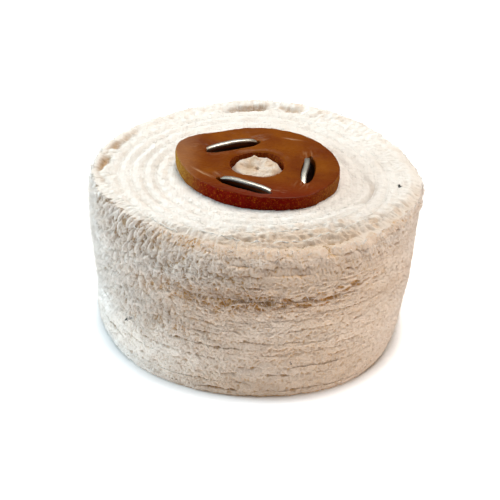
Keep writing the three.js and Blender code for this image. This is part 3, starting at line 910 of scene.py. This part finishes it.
def washer_points(with_warp):
    """Rows of a washer from the foot of its hole, over the grain side, to the foot of its cut edge. Returns
    x, y, height above its lower face, and colour channels: painted shadow in the slots, painted highlight on
    the grain with the olive tone of the cut walls, and the cut-edge flag."""
    theta = np.arange(WASHER_COLUMNS) * 2 * np.pi / WASHER_COLUMNS
    outline = smooth_loop(*zip(*WASHER_OUTLINE), np.degrees(theta)) + 0.1 * ring_noise(theta, 60, 0.5, 85)
    hole = WASHER_HOLE_RADIUS + 0.25 * ring_noise(theta, 7, 0.5, 86)
    rows = []

    def face(radius):
        x, y = radius * np.cos(theta), radius * np.sin(theta)
        height, dark, pale = washer_top(x, y)
        return (height if with_warp else np.minimum(height, BACK_RELIEF)), dark, pale

    def wall(share, radius, inset, olive):
        """A row of a cut wall: share is 0 at the foot and 1 at the top."""
        lift = face(radius)[0] * with_warp
        under = 0.85 * ramp(lift, 0.3, 1.2)
        foot = under - 0.25 * (radius[0] > 15)
        z = foot + (WASHER_THICKNESS + lift - foot) * share
        ragged = 0.1 * ring_noise(theta, 300, share * 5, 87) + 0.14 * ring_noise(theta, 90, share * 2, 88)
        rows.append((radius - inset + ragged, z, 0 * z, olive, np.ones_like(z)))

    for share in np.linspace(0, 0.9, 9):
        wall(share, hole, 0.0, np.full_like(hole, 0.2))
    grain = np.linspace(0.055, 0.955, 112)
    grain = np.concatenate([[0.0, 0.008, 0.02, 0.04], grain, [0.97, 0.982, 0.992, 1.0]])
    for t in grain:
        radius = hole + 0.2 + (outline - hole - 0.2) * t
        top, dark, pale = face(radius)
        rounded = 0.3 * np.clip(1 - t / 0.03, 0, 1) ** 2
        rounded = rounded + 0.22 * np.clip(1 - (1 - t) / 0.025, 0, 1) ** 2
        rows.append((radius, WASHER_THICKNESS + top - rounded, dark, pale, 0 * top))
    olive = np.clip(angle_bump(theta, 178, 55) + 0.45 * angle_bump(theta, 340, 50), 0, 1)
    for share in np.linspace(0.93, 0, 13):
        wall(share, outline, -0.15 * math.sin(math.pi * share), olive)
    radius, height, dark, tone, cut = (np.stack(parts) for parts in zip(*rows))
    wear_and_shade = np.stack([dark, tone, cut], axis=-1)
    return theta, radius, height, wear_and_shade


def add_washer(name, is_back, material):
    theta, radius, height, wear_and_shade = washer_points(not is_back)
    points = round_the_axis(radius, theta, height)
    if is_back:
        turn = math.radians(BACK_WASHER_TURN)
        x, y = points[..., 0].copy(), points[..., 1].copy()
        points[..., 0] = math.cos(turn) * x + math.sin(turn) * y
        points[..., 1] = math.sin(turn) * x - math.cos(turn) * y
        points[..., 2] = WASHER_THICKNESS - np.minimum(height, WASHER_THICKNESS)
    else:
        points[..., 2] += FRONT_FACE - WASHER_THICKNESS
    return grid_mesh(name, points, [material], wear_and_shade)


# ---------------------------------------------------------------- wire staples
WIRE_WIDTH = 1.7
WIRE_THICKNESS = 1.15
WIRE_SIDES = 20
WIRE_SQUARENESS = 3.2
CAD_WIRE_THICKNESS = 1.5  # the crown keeps the middle line of the thicker CAD wire
CROWN_HALF_LENGTH = 9.1
CROWN_RISE = 2.55
CROWN_PROUD = 0.75
CLENCH_RADIUS = 1.1
CLENCH_HEIGHT = 1.1
CLENCH_TIP = 1.6


def staple_line():
    """The middle of the wire in the staple's own plane: along the crown, and height."""
    spring = FRONT_FACE + CROWN_PROUD - CAD_WIRE_THICKNESS / 2 - CROWN_RISE
    turn = np.linspace(0, np.pi / 2, 26)
    rise = spring + CROWN_RISE * np.cos(turn) ** 0.6
    crown = np.stack([CROWN_HALF_LENGTH * np.sin(turn) ** 0.85, rise], axis=-1)
    centre = (CROWN_HALF_LENGTH - CLENCH_RADIUS, CLENCH_HEIGHT + CLENCH_RADIUS)
    leg = np.stack([np.full(12, CROWN_HALF_LENGTH), np.linspace(spring, centre[1], 12)], axis=-1)
    turn = np.linspace(0, np.pi / 2, 8)
    fall = centre[1] - CLENCH_RADIUS * np.sin(turn)
    bend = np.stack([centre[0] + CLENCH_RADIUS * np.cos(turn), fall], axis=-1)
    tip = np.array([[4.5, CLENCH_HEIGHT + 0.15], [CLENCH_TIP, CLENCH_HEIGHT + 0.4]])
    half = np.concatenate([crown, leg[1:], bend[1:], tip])
    return np.concatenate([(half * np.array([-1, 1]))[:0:-1], half])


def add_staple(number, angle, radius, lean, material):
    middle, u_axis, v_axis = staple_frame(angle, radius, lean)
    line = staple_line()
    line[:, 1] += 0.06 * gradient_noise(line[:, 0] / 2.5, 0 * line[:, 0] + 5 * number, 91) * (line[:, 1] > 40)
    along = unit(np.gradient(line, axis=0))
    across = np.stack([-along[:, 1], along[:, 0]], axis=-1)
    turn = np.arange(WIRE_SIDES) * 2 * np.pi / WIRE_SIDES
    power = WIRE_SQUARENESS
    squared = 1 / (np.abs(np.cos(turn)) ** power + np.abs(np.sin(turn)) ** power) ** (1 / power)
    out, wide = squared * np.sin(turn) * WIRE_THICKNESS / 2, squared * np.cos(turn) * WIRE_WIDTH / 2
    pinch = np.ones(len(line))
    pinch[[0, -1]] = 0.6
    u = line[:, None, 0] + across[:, None, 0] * out * pinch[:, None]
    z = line[:, None, 1] + across[:, None, 1] * out * pinch[:, None]
    v = wide * pinch[:, None] + 0.12 * np.sin(line[:, None, 0] * 0.5 + number)
    x = middle[0] + u * u_axis[0] + v * v_axis[0]
    y = middle[1] + u * u_axis[1] + v * v_axis[1]
    points = np.stack([x, y, z], axis=-1)
    rows, columns = x.shape
    index = np.arange(rows * columns).reshape(rows, columns)
    right = np.roll(index, -1, axis=1)
    walls = np.stack([index[:-1], right[:-1], right[1:], index[1:]], axis=-1).reshape(-1, 4)
    caps = np.stack([index[0, ::-1], index[-1]])
    near_leather = ramp(np.abs(line[:, 0]), 5.5, 8.3)[:, None] + 0 * x
    wear_and_shade = np.stack([near_leather, 0 * x, 0 * x], axis=-1)
    points, wear_and_shade = points.reshape(-1, 3), wear_and_shade.reshape(-1, 3)
    return mesh_from(f"staple_{number}", points, [walls, caps], [material], wear_and_shade)


# ---------------------------------------------------------------- materials
def new_material(name):
    material = bpy.data.materials.new(name)
    material.use_nodes = True
    tree = material.node_tree
    return material, tree, tree.nodes["Principled BSDF"]


def set_inputs(made, **inputs):
    """Sets a node's sockets by their names, with _ for a space."""
    for key, value in inputs.items():
        made.inputs[key.replace("_", " ")].default_value = value
    return made


def node(tree, kind, **inputs):
    return set_inputs(tree.nodes.new(kind), **inputs)


def mix_colour(tree, factor, first, second):
    """A colour mix. Factor is a socket, and first and second are sockets or colours."""
    made = tree.nodes.new("ShaderNodeMix")
    made.data_type = "RGBA"
    named = {s.identifier: s for s in made.inputs}
    for key, value in (("Factor_Float", factor), ("A_Color", first), ("B_Color", second)):
        if isinstance(value, bpy.types.NodeSocket):
            tree.links.new(value, named[key])
        else:
            named[key].default_value = (*value, 1)
    return next(s for s in made.outputs if s.identifier == "Result_Color")


def math_node(tree, operation, first, second):
    made = tree.nodes.new("ShaderNodeMath")
    made.operation = operation
    for socket, value in zip(made.inputs, (first, second)):
        if isinstance(value, bpy.types.NodeSocket):
            tree.links.new(value, socket)
        else:
            socket.default_value = value
    return made.outputs[0]


def noise_texture(tree, scale, detail, coordinates):
    made = node(tree, "ShaderNodeTexNoise", Scale=scale, Detail=detail)
    tree.links.new(coordinates, made.inputs["Vector"])
    return made.outputs["Fac"]


def map_range(tree, value, low, high, to_low=0.0, to_high=1.0):
    made = node(tree, "ShaderNodeMapRange", From_Min=low, From_Max=high, To_Min=to_low, To_Max=to_high)
    tree.links.new(value, made.inputs["Value"])
    return made.outputs["Result"]


def object_coordinates(tree):
    return tree.nodes.new("ShaderNodeTexCoord").outputs["Object"]


def add_bump(tree, shader, height, distance, strength):
    made = node(tree, "ShaderNodeBump", Strength=strength, Distance=distance)
    tree.links.new(height, made.inputs["Height"])
    tree.links.new(made.outputs["Normal"], shader.inputs["Normal"])


def wear_and_shade_channels(tree):
    attribute = tree.nodes.new("ShaderNodeAttribute")
    attribute.attribute_name = "wear_and_shade"
    split = tree.nodes.new("ShaderNodeSeparateColor")
    tree.links.new(attribute.outputs["Color"], split.inputs["Color"])
    return split.outputs["Red"], split.outputs["Green"], split.outputs["Blue"]


def cotton_material(name, light, tan, hollow_shade_colour, weave):
    """Unbleached cotton from light to tan, where the tan is partly painted shade, with painted shade in its
    hollows. Weave is the relief of its threads.
    """
    material, tree, shader = new_material(name)
    place = object_coordinates(tree)
    hollow, tint, speck = wear_and_shade_channels(tree)
    blotches = noise_texture(tree, 90.0, 3.0, place)
    fibres = noise_texture(tree, 2600.0, 3.0, place)
    base = mix_colour(tree, tint, light, tan)
    base = mix_colour(tree, map_range(tree, blotches, 0.35, 0.7, 0.0, 0.14), base, (0.56, 0.44, 0.33))
    # Painted shade in the hollows, browner where the cloth is tan.
    shade_colours = mix_colour(tree, tint, tuple(0.16 + 0.34 * c for c in hollow_shade_colour), hollow_shade_colour)
    base = mix_colour(tree, map_range(tree, hollow, 0.08, 0.75), base, shade_colours)
    base = mix_colour(tree, map_range(tree, fibres, 0.3, 0.75, 0.0, 0.12), base, (0.50, 0.40, 0.30))
    base = mix_colour(tree, speck, base, (0.03, 0.025, 0.02))
    tree.links.new(base, shader.inputs["Base Color"])
    set_inputs(shader, Roughness=0.95, Specular_IOR_Level=0.15, Sheen_Weight=0.25, Sheen_Roughness=0.6)
    relief = fibres
    if weave:
        threads = []
        for direction in ("X", "Y"):
            wave = node(tree, "ShaderNodeTexWave", Scale=330.0, Distortion=1.4, Detail=2.0, Detail_Scale=0.6)
            wave.bands_direction = direction
            tree.links.new(place, wave.inputs["Vector"])
            threads.append(wave.outputs["Fac"])
        woven = math_node(tree, "MAXIMUM", *threads)
        relief = math_node(tree, "ADD", math_node(tree, "MULTIPLY", woven, weave), fibres)
    add_bump(tree, shader, relief, 0.00018, 0.6)
    return material


def leather_material():
    """Oiled vegetable-tanned leather: glossy brown grain, a dark red-brown cut edge flecked with yellow."""
    material, tree, shader = new_material("oiled_leather")
    place = object_coordinates(tree)
    dark, tone, cut = wear_and_shade_channels(tree)
    cloud = noise_texture(tree, 70.0, 4.0, place)
    grain = noise_texture(tree, 900.0, 4.0, place)
    flecks = noise_texture(tree, 2800.0, 3.0, place)
    streaks = noise_texture(tree, 260.0, 3.0, place)
    split = tree.nodes.new("ShaderNodeSeparateXYZ")
    tree.links.new(place, split.inputs[0])
    face = mix_colour(tree, map_range(tree, cloud, 0.35, 0.65), (0.135, 0.024, 0.0006), (0.215, 0.056, 0.001))
    near_front = map_range(tree, split.outputs["Y"], -0.008, -0.021)
    face = mix_colour(tree, near_front, face, (0.14, 0.014, 0.0005))
    face = mix_colour(tree, map_range(tree, streaks, 0.55, 0.8, 0.0, 0.5), face, (0.11, 0.013, 0.001))
    # Painted highlights on the grain: creases, wrinkles and the sheen on the left tip.
    face = mix_colour(tree, math_node(tree, "MULTIPLY", tone, 0.6), face, (0.60, 0.36, 0.20))
    yellow = map_range(tree, flecks, 0.56, 0.68, 0.0, 0.55)
    edge = mix_colour(tree, yellow, (0.15, 0.002, 0.0003), (0.55, 0.17, 0.006))
    mottle = map_range(tree, flecks, 0.38, 0.56, 0.35, 0.95)
    edge = mix_colour(tree, math_node(tree, "MULTIPLY", tone, mottle), edge, (0.38, 0.21, 0.03))
    base = mix_colour(tree, cut, face, edge)
    # Painted shadow, nearly black, in the slots under the staples' crowns.
    base = mix_colour(tree, dark, base, (0.006, 0.002, 0.001))
    tree.links.new(base, shader.inputs["Base Color"])
    rough = map_range(tree, grain, 0.2, 0.8, 0.26, 0.42)
    rough = math_node(tree, "ADD", rough, math_node(tree, "MULTIPLY", cut, 0.35))
    tree.links.new(rough, shader.inputs["Roughness"])
    tree.links.new(map_range(tree, cut, 0.0, 1.0, 0.08, 0.03), shader.inputs["Specular IOR Level"])
    add_bump(tree, shader, grain, 0.00006, 0.5)
    return material


def steel_material():
    """Tinned steel wire, drawn along its length, tarnished where it enters the leather."""
    material, tree, shader = new_material("staple_steel")
    place = object_coordinates(tree)
    tarnish = wear_and_shade_channels(tree)[0]
    spots = noise_texture(tree, 1400.0, 4.0, place)
    dulled = map_range(tree, spots, 0.45, 0.7, 0.0, 0.6)
    base = mix_colour(tree, dulled, (0.60, 0.57, 0.50), (0.34, 0.31, 0.25))
    base = mix_colour(tree, math_node(tree, "MULTIPLY", tarnish, 0.5), base, (0.26, 0.20, 0.12))
    tree.links.new(base, shader.inputs["Base Color"])
    set_inputs(shader, Metallic=1.0)
    tree.links.new(map_range(tree, spots, 0.3, 0.7, 0.34, 0.50), shader.inputs["Roughness"])
    add_bump(tree, shader, spots, 0.00004, 0.4)
    return material


# ---------------------------------------------------------------- making it
COTTONS = {  # light and tan colours, where the tan is partly painted shade, the colour of the painted shade in hollows, and the relief of the weave
    "frayed_cotton": ((0.87, 0.83, 0.79), (0.75, 0.58, 0.45), (0.62, 0.34, 0.10), 0.0),
    "woven_cotton": ((0.88, 0.83, 0.76), (0.72, 0.56, 0.42), (0.50, 0.33, 0.18), 0.5),
    "yarn_strands": ((0.87, 0.82, 0.77), (0.77, 0.61, 0.49), (0.55, 0.37, 0.22), 0.0),
    "sewing_thread": ((0.88, 0.85, 0.79), (0.86, 0.82, 0.75), (0.7, 0.6, 0.5), 0.0),
}


def main():
    add_camera()
    add_light()
    add_floor()
    rim_cloth, top_cloth, strand, thread = (cotton_material(name, *look) for name, look in COTTONS.items())
    leather = leather_material()
    steel = steel_material()
    for fold in range(FOLDS):
        if fold == FOLDS - 1:
            piece = add_front_fold(rim_cloth, top_cloth)
        else:
            piece = add_plain_fold(fold, rim_cloth)
        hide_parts(fold_node(fold))
    for section in range(FOLDS // FOLDS_PER_SECTION):
        add_fringes(section, strand)
        piece = add_thread(section, thread)
        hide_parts(f"stitch_thread_{section + 1}")
    for side in ("back", "front"):
        piece = add_washer(f"{side}_washer", side == "back", leather)
        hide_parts(f"{side}_leather_washer")
    for number, staple in enumerate(STAPLES, 1):
        piece = add_staple(number, *staple[:3], steel)
        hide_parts(f"wire_staple_{number}")


main()
